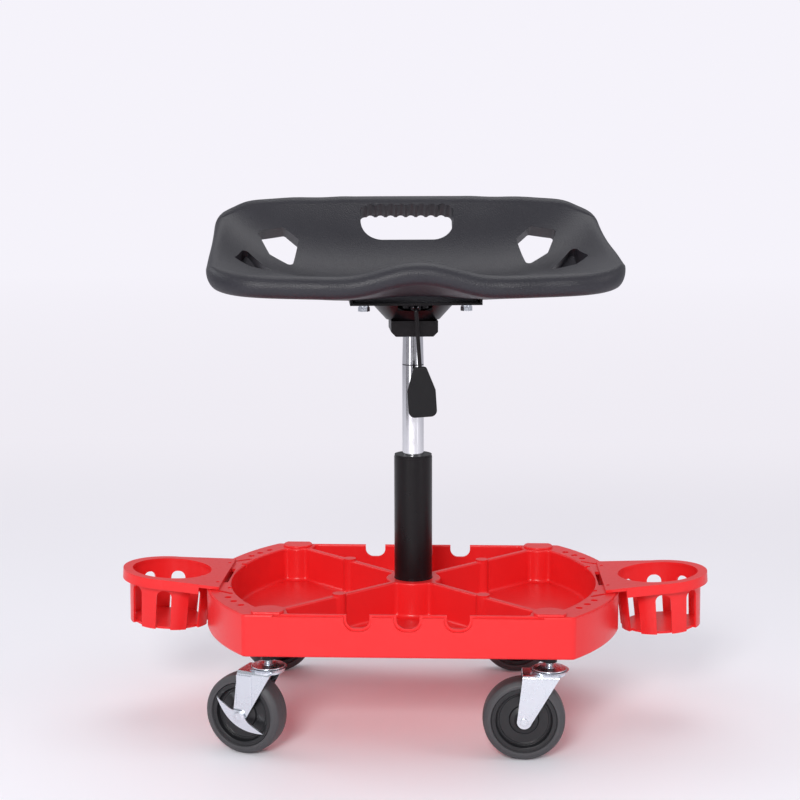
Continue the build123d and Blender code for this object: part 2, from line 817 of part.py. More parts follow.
def pan_hole(corners, heading, low_radius, high_radius, fingers=0):
    """Hole through the pan along a heading, its corners given as stations and shares on the upper face."""
    slope = math.radians(heading)
    points = []
    for x, share in corners:
        y, z, angle = seat_middle(x, share)
        thick = seat_half_thickness(x)
        out = thick * math.sin(math.radians(angle))
        points.append((x, y - out, z + thick * math.cos(math.radians(angle))))
    centre = sum([Vector(*point) for point in points], Vector(0, 0, 0)) / len(points)
    plane = Plane(origin=centre, x_dir=(1, 0, 0), z_dir=(0, -math.sin(slope), math.cos(slope)))
    flat = [plane.to_local_coords(Vector(*point)) for point in points]
    plan = make_face(Polyline(*[(point.X, point.Y) for point in flat], close=True))
    top = max(point.Y for point in flat)
    plan = fillet(plan.vertices().sort_by(Axis.Y)[:2], low_radius)
    plan = fillet(plan.vertices().sort_by(Axis.Y)[-2:], high_radius)
    for index in range(fingers):
        x = (index - (fingers - 1) * half) * 2 * finger_radius
        plan += Pos(x, top + finger_depth - finger_radius) * Circle(finger_radius)
    return extrude(plane * plan, 2 * seat_thickness, both=True)


def make_seat_shell():
    """The moulded seat with its plate recess, mounting pad, handle slot and four hand slots."""
    shell = loft([seat_section(x) for x in seat_stations()])
    wide = handle_width * half
    low = [(-wide, handle_low_share), (wide, handle_low_share)]
    high = [(wide, handle_high_share), (-wide, handle_high_share)]
    shell -= pan_hole(low + high, handle_heading, handle_low_corner, handle_high_corner, finger_count)
    slots = [(inner_slot_shares, inner_slot_heading), (outer_slot_shares, outer_slot_heading)]
    for sx in (-1, 1):
        for shares, heading in slots:
            corners = [(sx * across * seat_half_width, along) for across, along in shares]
            shell -= pan_hole(corners, heading, slot_corner, slot_corner)
    recess_top = plate_top + plate_lug + pan_recess_clearance
    recess_width = plate_width + 2 * pan_recess_clearance
    recess_depth = plate_depth + 2 * pan_recess_clearance
    recess_height = plate_thickness + plate_lug + 2 * pan_recess_clearance + overrun
    shell -= Pos(0, 0, recess_top - recess_height * half) * Box(recess_width, recess_depth, recess_height)
    shell += Pos(0, 0, plate_top + pad_height * half) * Box(pad_width, pad_depth, pad_height)
    for hole in at_bolts(rod(insert_radius, plate_top - overrun, plate_top + bolt_grip)):
        shell -= hole
    return shell


# Casters: a fixed stem with its race, a pressed fork, and a rubber tyre on a moulded hub
trail = 31.0
wheel_width = 32.0
tyre_inner_radius = 40.0
tyre_shoulder = 9.0
hub_width = 28.0
hub_recess = 7.0
hub_rim_radius = 35.0
hub_boss_radius = 17.5
hub_boss_width = 31.0
axle_diameter = 8.0
fork_sheet = 2.5
fork_gap = 1.2
fork_plate_top = 109.0
fork_front = 13.5
fork_back = 33.0
fork_eye_radius = 8.8
fork_race_radius = 23.5
fork_race_foot_radius = 20.5
fork_plate_radius = 20.0
fork_bend = 5.0
brake_strip_x = -24.0
brake_strip_width = 21.0
brake_strip_rise = 1.4
brake_strip_top = 103.0
brake_strip_foot = 65.0
fork_race_height = 3.4
race_gap = 0.5
race_radius = 21.0
race_rim = 1.4
race_dome = 1.7
race_dome_radius = 13.0
stem_diameter = 10.0
stem_nut = 16.0
stem_nut_height = 8.0
stem_washer = 1.6
stem_washer_radius = 9.9
stem_end_spare = 1.5
king_radius = 5.0
king_head_radius = 9.0
king_head_height = 2.2
ball_diameter = 3.0
ball_count = 14
ball_circle = 14.0
axle_head_radius = 5.0
axle_head_height = 1.2
axle_head_fillet = 0.9
caster_turns = [20.0, 0.0, 0.0, -22.0]
caster_names = ["front_left", "front_right", "rear_right", "rear_left"]
brake_casters = ["front_left", "rear_right"]

wheel_radius = wheel_diameter * half
fork_inner = hub_boss_width * half + fork_gap
fork_outer = fork_inner + fork_sheet
fork_race_top = fork_plate_top + fork_race_height
race_foot = fork_race_top + race_gap
race_top = race_foot + race_rim + race_dome
stem_nut_foot = tray_rim - stem_nut_well_depth + stem_washer


def ball_track():
    """Ring-shaped space for the balls, half in each race."""
    track = Torus(ball_circle, ball_diameter * half + run_clearance)
    return Pos(0, 0, fork_race_top + race_gap * half) * track


def make_caster_race():
    """Domed upper race with its stem bolt, fixed to the tray, and the kingpin head below the fork."""
    rim = Pos(0, 0, race_foot) * extrude(Circle(race_radius), race_rim)
    dome_z = race_foot + race_rim + race_dome * half
    dome = Pos(0, 0, dome_z) * Cone(race_radius, race_dome_radius, race_dome)
    stem_top = stem_nut_foot + stem_nut_height + stem_end_spare
    stem = rod(stem_diameter * half, race_foot, stem_top)
    king = rod(king_radius, fork_plate_top - fork_sheet - loose_clearance, race_foot)
    head_top = fork_plate_top - fork_sheet - loose_clearance
    head = rod(king_head_radius, head_top - king_head_height, head_top)
    return rim + dome + stem + king + head - ball_track()


def make_stem_nuts():
    """Nuts of the four stems, one in each well."""
    bore = rod(stem_diameter * half + run_clearance, stem_nut_foot - overrun, tray_rim)
    nut = Pos(0, 0, stem_nut_foot) * hex_prism(stem_nut, stem_nut_height)
    return at_mounts(nut - bore)


def make_stem_washers():
    """Washers under the nuts in the wells."""
    washer = ring(stem_washer_radius, stem_diameter * half + run_clearance, stem_washer)
    return at_mounts(Pos(0, 0, tray_rim - stem_nut_well_depth) * washer)


def on_axle(piece):
    """Turn a piece made about Z so that it lies on the axle."""
    return Pos(-trail, 0, wheel_radius) * Rot(90, 0, 0) * piece


def fork_outline():
    """Side view of a leg: wide at the plate, round at the axle."""
    eye = Pos(-trail, wheel_radius) * Circle(fork_eye_radius)
    lean = math.degrees(math.atan2(fork_plate_top - wheel_radius, trail + fork_front))
    edge_x = fork_eye_radius * math.sin(math.radians(lean))
    edge_z = fork_eye_radius * math.cos(math.radians(lean))
    outline = Polyline(
        (-fork_back, fork_plate_top),
        (fork_front, fork_plate_top),
        (-trail + edge_x, wheel_radius - edge_z),
        (-trail, wheel_radius),
        (-trail - fork_eye_radius, wheel_radius),
        close=True,
    )
    return make_face(outline) + eye


def fork_channel():
    """Bent sheet seen along the wheel's track, as an upside-down U with rounded shoulders."""
    height = fork_plate_top
    outer = Pos(0, height * half) * Rectangle(2 * fork_outer, height)
    outer = fillet(outer.vertices().sort_by(Axis.Y)[-2:], fork_bend)
    inner_height = height - fork_sheet
    inner = Pos(0, inner_height * half) * Rectangle(2 * fork_inner, inner_height)
    inner = fillet(inner.vertices().sort_by(Axis.Y)[-2:], fork_bend - fork_sheet)
    return outer - inner


def make_fork(braked):
    """Pressed fork: rounded channel cut to the legs' outline, with the lower race on its plate."""
    across = Plane(origin=(0, 0, 0), x_dir=(0, 1, 0), z_dir=(1, 0, 0))
    side = Plane(origin=(0, 0, 0), x_dir=(1, 0, 0), z_dir=(0, -1, 0))
    channel = extrude(across * fork_channel(), 2 * trail, both=True)
    fork = channel & extrude(side * fork_outline(), 2 * fork_outer, both=True)
    fork += rod(fork_plate_radius, fork_plate_top - fork_sheet, fork_plate_top)
    cup_z = fork_plate_top + fork_race_height * half
    fork += Pos(0, 0, cup_z) * Cone(fork_race_foot_radius, fork_race_radius, fork_race_height)
    if braked:
        strip_height = brake_strip_top - brake_strip_foot
        strip_z = (brake_strip_top + brake_strip_foot) * half
        strip = Box(brake_strip_width, brake_strip_rise + fork_sheet * half, strip_height)
        strip = fillet(strip.edges().filter_by(Axis.Z).sort_by(Axis.Y)[:2], brake_strip_rise)
        strip_y = -fork_outer + (fork_sheet * half - brake_strip_rise) * half
        fork += Pos(brake_strip_x, strip_y, strip_z) * strip
    fork -= rod(king_radius + loose_clearance, fork_plate_top - fork_sheet - overrun, fork_race_top + overrun)
    axle_hole = Cylinder(axle_diameter * half + run_clearance, 3 * fork_outer)
    return fork - on_axle(axle_hole) - ball_track()


def make_balls():
    """Balls between the two races."""
    balls = []
    ball = Pos(ball_circle, 0, fork_race_top + race_gap * half) * Sphere(ball_diameter * half)
    for index in range(ball_count):
        balls.append(Rot(0, 0, index * 360 / ball_count) * ball)
    return balls


def make_tyre():
    """Rubber tread with rounded shoulders."""
    section = Pos((tyre_inner_radius + wheel_radius) * half, 0) * Rectangle(
        wheel_radius - tyre_inner_radius, wheel_width)
    section = fillet(section.vertices().sort_by(Axis.X)[-2:], tyre_shoulder)
    return revolve(Plane.XZ * section, Axis.Z)


def make_hub():
    """Moulded hub: rim, recessed web and a boss that runs on the axle."""
    points = [
        (axle_diameter * half + run_clearance, -hub_boss_width * half),
        (hub_boss_radius * half, -hub_boss_width * half),
        (hub_boss_radius, -hub_width * half + hub_recess),
        (hub_rim_radius, -hub_width * half + hub_recess),
        (hub_rim_radius, -hub_width * half),
        (tyre_inner_radius, -hub_width * half),
        (tyre_inner_radius, hub_width * half),
        (hub_rim_radius, hub_width * half),
        (hub_rim_radius, hub_width * half - hub_recess),
        (hub_boss_radius, hub_width * half - hub_recess),
        (hub_boss_radius * half, hub_boss_width * half),
        (axle_diameter * half + run_clearance, hub_boss_width * half),
    ]
    return revolve(Plane.XZ * make_face(Polyline(*points, close=True)), Axis.Z)


def make_axle():
    """Axle pin riveted over outside both legs of the fork."""
    head = extrude(Circle(axle_head_radius), axle_head_height)
    head = fillet(head.edges().sort_by(Axis.Z)[-1:], axle_head_fillet)
    shaft = Cylinder(axle_diameter * half, 2 * fork_outer)
    near_head = Pos(0, 0, fork_outer) * head
    far_head = Pos(0, 0, -fork_outer) * Rot(180, 0, 0) * head
    return on_axle(shaft + near_head + far_head)


# Brake pedal: a leaf-shaped rocker on the axle, outside the fork, with a narrow lip on its upper edge
pedal_length = 74.0
pedal_bulge = 13.0
pedal_dip = 2.5
pedal_sheet = 2.0
pedal_lip = 3.2
pedal_angle = -35.0
pedal_eye_radius = 9.5
pedal_eye_clearance = 0.4
pedal_drop = 2.3


def make_brake_pedal():
    """Leaf plate hung round the axle head, with a lip along its upper edge."""
    reach = pedal_length * half
    upper = ThreePointArc((-reach, 0), (0, -pedal_dip), (reach, 0))
    lower = ThreePointArc((reach, 0), (0, -pedal_bulge), (-reach, 0))
    plate = extrude(make_face(Wire([upper, lower])), pedal_sheet)
    inner = ThreePointArc((reach, 0), (0, -pedal_dip - pedal_sheet), (-reach, 0))
    lip = extrude(make_face(Wire([upper, inner])), pedal_lip)
    pedal = Pos(0, -pedal_drop, 0) * (plate + lip)
    pedal += extrude(Circle(pedal_eye_radius), pedal_sheet)
    pedal = pedal - Cylinder(axle_head_radius + pedal_eye_clearance, 3 * pedal_lip)
    return on_axle(Pos(0, 0, fork_outer + loose_clearance) * Rot(0, 0, pedal_angle) * pedal)


# Cup holders: a plate that hooks into the side rim and carries a slotted basket
cup_x = 322.0
cup_plate_height = 190.4
cup_tilt = 4.0
cup_radius = 53.5
cup_ring_radius = 64.5
cup_plate_sheet = 4.0
cup_skirt = 13.0
cup_skirt_wall = 3.0
cup_plate_width = 154.0
cup_plate_inner_x = 247.5
cup_basket_top_radius = 56.0
cup_basket_foot_radius = 52.0
cup_basket_wall = 2.5
cup_depth = 70.0
cup_floor = 3.0
cup_slot_angle = 20.0
cup_slot_start = 17.0
cup_slot_count = 8
cup_hook_width = 66.0
cup_hook_depth = 20.0
cup_hook_sheet = 3.0
cup_rivet_hole = 5.0
cup_rivet_y = 52.0
cup_rivet_inset = 5.0
cup_edge_fillet = 1.2
cup_skirt_gap = 2.4
cup_slot_round_share = 0.45


def cup_plan(margin):
    """Plan of the plate: the ring and its straight flanks to the tray, drawn in by a margin."""
    radius = cup_ring_radius - margin
    inner_x = cup_plate_inner_x - cup_x
    wide = cup_plate_width * half - margin
    flank = Polyline((0, -radius), (inner_x, -wide), (inner_x, wide), (0, radius), close=True)
    return Circle(radius) + make_face(flank)


def cup_basket():
    """Slotted basket under the ring, with its floor."""
    outer = Cone(cup_basket_foot_radius, cup_basket_top_radius, cup_depth)
    inner = Cone(cup_basket_foot_radius - cup_basket_wall, cup_basket_top_radius - cup_basket_wall, cup_depth)
    basket = outer - Pos(0, 0, cup_floor) * inner
    slot_width = 2 * cup_basket_top_radius * math.sin(math.radians(cup_slot_angle * half))
    slot_height = cup_depth - cup_slot_start
    profile = Pos(0, -cup_depth * half + slot_height * half) * Rectangle(slot_width, slot_height)
    top = profile.vertices().sort_by(Axis.Y)[-2:]
    profile = fillet(top, slot_width * cup_slot_round_share)
    for index in range(cup_slot_count):
        face = Plane(origin=(0, 0, 0), x_dir=(0, 1, 0), z_dir=(1, 0, 0))
        cut = extrude(face * profile, cup_basket_top_radius + overrun)
        cut -= Cylinder(cup_basket_foot_radius - 2 * cup_basket_wall, cup_depth + overrun)
        basket -= Rot(0, 0, index * 360 / cup_slot_count) * cut
    return Pos(0, 0, -cup_depth * half) * basket


def make_cup_holder(side):
    """Cup holder on one side: plate, skirt, basket and hook, tilted up a little."""
    plate = extrude(cup_plan(0), -cup_plate_sheet)
    plate = fillet(plate.edges().group_by(Axis.Z)[-1], cup_edge_fillet)
    skirt = extrude(cup_plan(0) - cup_plan(cup_skirt_wall), -cup_skirt)
    beyond = tray_radius + cup_skirt_gap - cup_x
    rim_clear = Pos(beyond - tray_radius * half, 0, -cup_plate_sheet - cup_skirt * half) * Box(
        tray_radius, 2 * tray_radius, cup_skirt)
    holder = plate + (skirt - rim_clear) + cup_basket()
    holder -= Cylinder(cup_radius - cup_basket_wall * half, 4 * cup_plate_sheet)
    hook_x = cup_plate_inner_x - cup_x + cup_hook_sheet * half
    hook = Box(cup_hook_sheet, cup_hook_width, cup_hook_depth)
    holder += Pos(hook_x, 0, -cup_hook_depth * half) * hook
    for sy in (-1, 1):
        hole = Cylinder(cup_rivet_hole * half, 4 * cup_plate_sheet)
        holder -= Pos(cup_plate_inner_x - cup_x + cup_rivet_inset, sy * cup_rivet_y, 0) * hole
    holder = Pos(cup_x, 0, cup_plate_height) * Rot(0, -cup_tilt, 0) * holder
    return Rot(0, 0, 180) * holder if side < 0 else holder


# Write one file for each named piece
os.makedirs("parts", exist_ok=True)


def write(name, shape):
    """Write one node from a shape or a list of separate solids."""
    if isinstance(shape, list):
        shape = Compound(children=shape)
    export_step(shape, f"parts/{name}.step")


write("tray", make_tray())
write("corner_caps", make_corner_caps())
write("base_frame", make_base_frame())
write("column", make_column())
write("column_bush", make_column_bush())
write("lift_rod", make_lift_rod())
write("bearing_washers", make_bearing_washers())
write("bearing_cage", make_bearing_cage())
write("rod_clip", make_rod_clip())

# The seat and everything that turns with it stand turned a little, as they were left
turned = Rot(0, 0, seat_turn)
seat_group = {
    "gas_cylinder": make_gas_cylinder(),
    "release_pin": make_release_pin(),
    "taper_socket": make_taper_socket(),
    "lift_housing": make_lift_housing(),
    "mount_dish": make_mount_dish(),
    "seat_plate": make_seat_plate(),
    "flat_washers": make_flat_washers(),
    "spring_washers": make_spring_washers(),
    "seat_bolts": make_seat_bolts(),
    "seat_inserts": make_seat_inserts(),
    "lever_bracket": make_lever_bracket(),
    "bracket_screws": make_bracket_screws(),
    "lever_pin": make_lever_pin(),
    "lever_rod": make_lever_rod(),
    "lever_paddle": make_lever_paddle(),
    "seat_shell": make_seat_shell(),
}
for name, shape in seat_group.items():
    write(name, [turned * one for one in shape] if isinstance(shape, list) else turned * shape)

write("stem_nuts", make_stem_nuts())
write("stem_washers", make_stem_washers())
for name, turn, signs in zip(caster_names, caster_turns, corner_signs):
    place = Pos(signs[0] * mount_x, signs[1] * mount_y, 0) * Rot(0, 0, -turn)
    write(f"race_{name}", place * make_caster_race())
    write(f"fork_{name}", place * make_fork(name in brake_casters))
    write(f"balls_{name}", [place * ball for ball in make_balls()])
    write(f"axle_{name}", place * make_axle())
    write(f"hub_{name}", place * on_axle(make_hub()))
    write(f"tyre_{name}", place * on_axle(make_tyre()))
    if name in brake_casters:
        write(f"brake_pedal_{name}", place * make_brake_pedal())

write("cup_holder_left", make_cup_holder(-1))
write("cup_holder_right", make_cup_holder(1))
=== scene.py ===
import json
import math

import bmesh
import bpy
import numpy as np
from mathutils import Matrix, Vector


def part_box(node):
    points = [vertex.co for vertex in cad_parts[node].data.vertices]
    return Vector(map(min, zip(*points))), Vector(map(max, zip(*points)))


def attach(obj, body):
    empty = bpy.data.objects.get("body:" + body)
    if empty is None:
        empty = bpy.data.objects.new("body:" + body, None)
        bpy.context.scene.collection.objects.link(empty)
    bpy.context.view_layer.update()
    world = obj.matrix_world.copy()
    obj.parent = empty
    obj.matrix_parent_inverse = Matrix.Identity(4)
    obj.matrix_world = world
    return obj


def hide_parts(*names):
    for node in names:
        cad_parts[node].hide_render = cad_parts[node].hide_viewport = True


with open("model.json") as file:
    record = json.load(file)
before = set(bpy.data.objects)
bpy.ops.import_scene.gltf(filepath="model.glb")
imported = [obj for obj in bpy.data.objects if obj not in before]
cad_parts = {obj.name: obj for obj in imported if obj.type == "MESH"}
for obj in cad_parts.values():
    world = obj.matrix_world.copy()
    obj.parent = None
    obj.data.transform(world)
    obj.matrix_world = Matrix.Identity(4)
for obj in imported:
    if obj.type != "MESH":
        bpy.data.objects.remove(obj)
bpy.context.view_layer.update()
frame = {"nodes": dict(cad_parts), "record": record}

# Camera: a long lens a little above the seat, turned slightly to the left, as the photo was taken.
# Its place and angles were fitted to the symmetric base, in metres and radians.
camera_place = (0.0739, -2.0900, 0.7153)
camera_yaw = 0.0435
camera_pitch = 0.1411
camera_roll = -0.0029
camera_data = bpy.data.cameras.new("studio_camera")
camera_data.sensor_width = 36.0
camera_data.lens = 72.72
camera_data.clip_start = 0.05
camera_data.clip_end = 60.0
camera = bpy.data.objects.new("studio_camera", camera_data)
bpy.context.collection.objects.link(camera)
camera.matrix_world = (
    Matrix.Translation(camera_place)
    @ Matrix.Rotation(camera_yaw, 4, "Z")
    @ Matrix.Rotation(math.pi / 2 - camera_pitch, 4, "X")
    @ Matrix.Rotation(camera_roll, 4, "Z")
)
bpy.context.scene.camera = camera
bpy.context.scene.view_settings.view_transform = "Standard"


# Floor: a matt, very pale studio floor that fades into the backdrop with distance from the stool.
# The finish classes and the mesh function that later sections use are defined here, where they are
# first needed.
class Tap:
    """A value inside a finish. Arithmetic on it adds Math nodes to that finish."""

    def __init__(self, finish, socket):
        self.finish = finish
        self.socket = socket

    def maths(self, operation, *values):
        return self.finish.node("ShaderNodeMath", {"operation": operation}, values)

    def __add__(self, other):
        return self.maths("ADD", self, other)

    def __sub__(self, other):
        return self.maths("SUBTRACT", self, other)

    def __rsub__(self, other):
        return self.maths("SUBTRACT", other, self)

    def __mul__(self, other):
        return self.maths("MULTIPLY", self, other)

    def __abs__(self):
        return self.maths("ABSOLUTE", self)

    __radd__ = __add__
    __rmul__ = __mul__


class Finish:
    """One moulded, plated or painted finish: a Principled surface and the nodes that feed it. The
    constants are sockets of the surface, named with _ for each space."""

    def __init__(self, name, **constants):
        self.material = bpy.data.materials.new(name)
        self.material.use_nodes = True
        self.tree = self.material.node_tree
        self.surface = self.tree.nodes["Principled BSDF"]
        for key, value in constants.items():
            self.feed(key.replace("_", " "), value)

    def join(self, value, socket):
        """Link a value of this finish to a socket, or set the socket to a plain number or colour."""
        if isinstance(value, Tap):
            self.tree.links.new(value.socket, socket)
        else:
            socket.default_value = value

    def feed(self, name, value):
        """Give a socket of the surface its value."""
        self.join(value, self.surface.inputs[name])

    def node(self, kind, settings, inputs, output=0):
        """Add a node: its settings first, then its sockets' values or links."""
        made = self.tree.nodes.new(kind)
        for key, value in settings.items():
            setattr(made, key, value)
        pairs = inputs.items() if isinstance(inputs, dict) else enumerate(inputs)
        for key, value in pairs:
            self.join(value, made.inputs[key])
        return Tap(self, made.outputs[output])

    def place(self):
        """Object coordinates, in metres."""
        return self.node("ShaderNodeTexCoord", {}, {}, "Object")

    def cloud(self, size, detail, roughness=0.5, where=None):
        """Soft noise from 0 to 1 with patches of about the given size in metres."""
        where = where or self.place()
        return self.node("ShaderNodeTexNoise", {"noise_dimensions": "3D"},
                         {"Vector": where, "Scale": 1 / size, "Detail": detail, "Roughness": roughness})

    def between(self, value, low, high, start=0.0, end=1.0, ease="LINEAR"):
        """Bring a value's range from low..high to start..end, held at both ends."""
        inputs = (value, low, high, start, end)
        return self.node("ShaderNodeMapRange", {"interpolation_type": ease}, inputs)

    def blend(self, share, first, second):
        """Colour between two colours, by a share from 0 to 1. A Mix node's colours are its inputs 6
        and 7 and its output 2."""
        return self.node("ShaderNodeMix", {"data_type": "RGBA"}, {0: share, 6: first, 7: second}, output=2)

    def emboss(self, height, depth, strength, under=None):
        """Raise the surface by a height from 0 to 1 times a depth in metres."""
        inputs = {"Height": height, "Distance": depth, "Strength": strength}
        if under is not None:
            inputs["Normal"] = under
        return self.node("ShaderNodeBump", {}, inputs)


def surface_piece(name, points, close_rows=False, close_columns=False):
    """Mesh from a grid of points: each cell between four neighbours becomes a face, and the grid
    may close on itself along its rows or its columns. Points that coincide are merged."""
    merge_distance = 1e-6
    crease_angle = math.radians(50.0)
    rows, columns = points.shape[:2]
    index = np.arange(rows * columns).reshape(rows, columns)
    if close_rows:
        index = np.vstack((index, index[:1]))
    if close_columns:
        index = np.hstack((index, index[:, :1]))
    cells = np.stack((index[:-1, :-1], index[1:, :-1], index[1:, 1:], index[:-1, 1:]), axis=-1)
    mesh = bpy.data.meshes.new(name)
    mesh.from_pydata(points.reshape(-1, 3).tolist(), [], cells.reshape(-1, 4).tolist())
    work = bmesh.new()
    work.from_mesh(mesh)
    bmesh.ops.remove_doubles(work, verts=work.verts, dist=merge_distance)
    bmesh.ops.recalc_face_normals(work, faces=work.faces)
    work.to_mesh(mesh)
    work.free()
    mesh.shade_smooth()
    mesh.set_sharp_from_angle(angle=crease_angle)
    piece = bpy.data.objects.new(name, mesh)
    bpy.context.collection.objects.link(piece)
    return piece


floor_reach = 12.0
floor_posts = 7
floor_colour = (0.93, 0.915, 0.960, 1.0)
haze_colour = (0.860, 0.835, 0.895, 1.0)
backdrop_colour = (0.915, 0.895, 0.960, 1.0)
fade_start = -0.1
fade_end = 2.2
backdrop_start = 2.0
backdrop_end = 9.0
floor_roughness = 0.45
floor_roughness_spread = 0.12
marks = np.linspace(-floor_reach, floor_reach, floor_posts)
across, along = np.meshgrid(-marks, marks)
floor = surface_piece("studio_floor", np.stack((across, along, np.zeros_like(across)), axis=-1))
floor_finish = Finish("studio_floor", Base_Color=floor_colour, Specular_IOR_Level=0.3)
floor_patches = floor_finish.cloud(size=0.35, detail=2.0)
floor_finish.feed("Roughness", floor_roughness + floor_roughness_spread * floor_patches)
depth = floor_finish.node("ShaderNodeSeparateXYZ", {}, {"Vector": floor_finish.place()}, "Y")
far = floor_finish.between(depth, fade_start, fade_end, ease="SMOOTHSTEP")
farther = floor_finish.between(depth, backdrop_start, backdrop_end)
haze = floor_finish.blend(farther, haze_colour, backdrop_colour)
glow = floor_finish.node("ShaderNodeEmission", {}, {"Color": haze, "Strength": 1.0})
camera_ray = floor_finish.node("ShaderNodeLightPath", {}, {}, "Is Camera Ray")
matt = Tap(floor_finish, floor_finish.surface.outputs[0])
faded = floor_finish.node("ShaderNodeMixShader", {}, (far * camera_ray, matt, glow))
floor_finish.join(faded, floor_finish.tree.nodes["Material Output"].inputs["Surface"])
floor.data.materials.append(floor_finish.material)

# Studio light: a pale room, a large soft lamp in front and above, two weaker ones at the sides, one
# above the back, two small low ones for the bright metal, and the red glow that the tray lets through.
# Each lamp has a place and an aim in metres, the side of its square, its power in watts and its tint.
room_colour = (0.93, 0.94, 1.0, 1.0)
room_strength = 0.47
lamps = {
    "front_lamp": ((-0.45, -3.1, 1.75), (0.0, 0.0, 0.3), 0.9, 72.0, (1.0, 0.985, 0.975)),
    "right_lamp": ((2.4, -0.7, 1.6), (0.0, 0.0, 0.35), 1.3, 11.0, (1.0, 0.97, 0.98)),
    "left_lamp": ((-2.4, 0.6, 1.9), (0.0, 0.0, 0.45), 1.3, 14.0, (0.96, 0.98, 1.0)),
    "top_lamp": ((0.2, 0.9, 2.8), (0.0, 0.0, 0.4), 1.8, 18.0, (1.0, 1.0, 1.0)),
    "left_strip": ((-1.40, -2.24, 0.30), (0.0, 0.0, 0.45), 0.50, 1.6, (1.0, 1.0, 1.0)),
    "right_strip": ((2.02, -1.64, 0.30), (0.0, 0.0, 0.45), 0.50, 1.6, (1.0, 1.0, 1.0)),
    "light_through_tray": ((0.0, 0.03, 0.122), (0.0, 0.03, 0.0), 0.24, 0.05, (1.0, 0.10, 0.13)),
}
world = bpy.data.worlds.new("studio_room")
bpy.context.scene.world = world
world.use_nodes = True
room = world.node_tree
room_light = room.nodes["Background"]
room_light.inputs["Color"].default_value = room_colour
room_light.inputs["Strength"].default_value = room_strength
room_view = room.nodes.new("ShaderNodeBackground")
room_view.inputs["Color"].default_value = backdrop_colour
room_path = room.nodes.new("ShaderNodeLightPath")
room_mix = room.nodes.new("ShaderNodeMixShader")
room.links.new(room_path.outputs["Is Camera Ray"], room_mix.inputs[0])
room.links.new(room_light.outputs[0], room_mix.inputs[1])
room.links.new(room_view.outputs[0], room_mix.inputs[2])
room.links.new(room_mix.outputs[0], room.nodes["World Output"].inputs["Surface"])
for lamp_name, (lamp_place, aim, size, power, tint) in lamps.items():
    lamp_data = bpy.data.lights.new(lamp_name, "AREA")
    lamp_data.shape = "SQUARE"
    lamp_data.size = size
    lamp_data.energy = power
    lamp_data.color = tint
    lamp = bpy.data.objects.new(lamp_name, lamp_data)
    bpy.context.collection.objects.link(lamp)
    lamp.location = lamp_place
    lamp.rotation_euler = (Vector(aim) - Vector(lamp_place)).to_track_quat("-Z", "Y").to_euler()

# Dark cards: grey boards that stand beside and behind the camera, as in a studio, so that the bright
# metal has dark bands between the two low lamps. Only reflections see them.
card_colour = (0.30, 0.295, 0.31, 1.0)
card_foot = 0.002
card_top = 0.36
card_columns = 9
card_rows = 5
card_roughness = 0.6
card_roughness_spread = 0.2
card_lines = {
    "middle_card": ((-1.05, -2.55), (1.75, -2.55)),
    "left_card": ((-1.85, -1.95), (-2.60, -0.40)),
}
card_finish = Finish("studio_card", Base_Color=card_colour)
card_patches = card_finish.cloud(size=0.2, detail=2.0)
card_finish.feed("Roughness", card_roughness + card_roughness_spread * card_patches)
for card_name, (first_end, last_end) in card_lines.items():
    share, card_height = np.meshgrid(np.linspace(0.0, 1.0, card_columns),
                                     np.linspace(card_foot, card_top, card_rows), indexing="ij")
    card_x = first_end[0] + (last_end[0] - first_end[0]) * share
    card_y = first_end[1] + (last_end[1] - first_end[1]) * share
    card = surface_piece(card_name, np.stack((card_x, card_y, card_height), axis=-1))
    card.data.materials.append(card_finish.material)
    card.visible_camera = False
    card.visible_diffuse = False
    card.visible_shadow = False


# Tray, its four caps and the two cup holders: one red polypropylene, moulded, with a soft gloss.
# The skin has a faint flow ripple and fine scuffs.
def coat(finish, *names):
    """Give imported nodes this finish."""
    for name in names:
        frame["nodes"][name].material_slots[0].material = finish.material


deep_red = (0.76, 0.014, 0.016, 1.0)
bright_red = (0.84, 0.022, 0.024, 1.0)
scuffed_red = (0.93, 0.10, 0.10, 1.0)
red_roughness = 0.26
flow_roughness = 0.10
scuff_roughness = 0.14
scuff_bloom = 0.2
red_finish = Finish("red_moulding", Specular_IOR_Level=0.38)
flow = red_finish.cloud(size=0.09, detail=2.0)
scuffs = red_finish.cloud(size=0.006, detail=6.0, roughness=0.7)
skin = red_finish.cloud(size=0.0016, detail=2.0)
bloom = red_finish.between(scuffs, low=0.62, high=0.8, end=scuff_bloom)
dulled = red_finish.between(scuffs, low=0.5, high=0.8, end=scuff_roughness)
ripple = red_finish.emboss(flow, depth=0.0010, strength=0.3)
tone = red_finish.blend(flow, deep_red, bright_red)
red_finish.feed("Base Color", red_finish.blend(bloom, tone, scuffed_red))
red_finish.feed("Roughness", red_roughness + flow_roughness * flow + dulled)
red_finish.feed("Normal", red_finish.emboss(skin, depth=0.00004, strength=0.4, under=ripple))
coat(red_finish, "tray", "corner_caps", "cup_holder_left", "cup_holder_right")

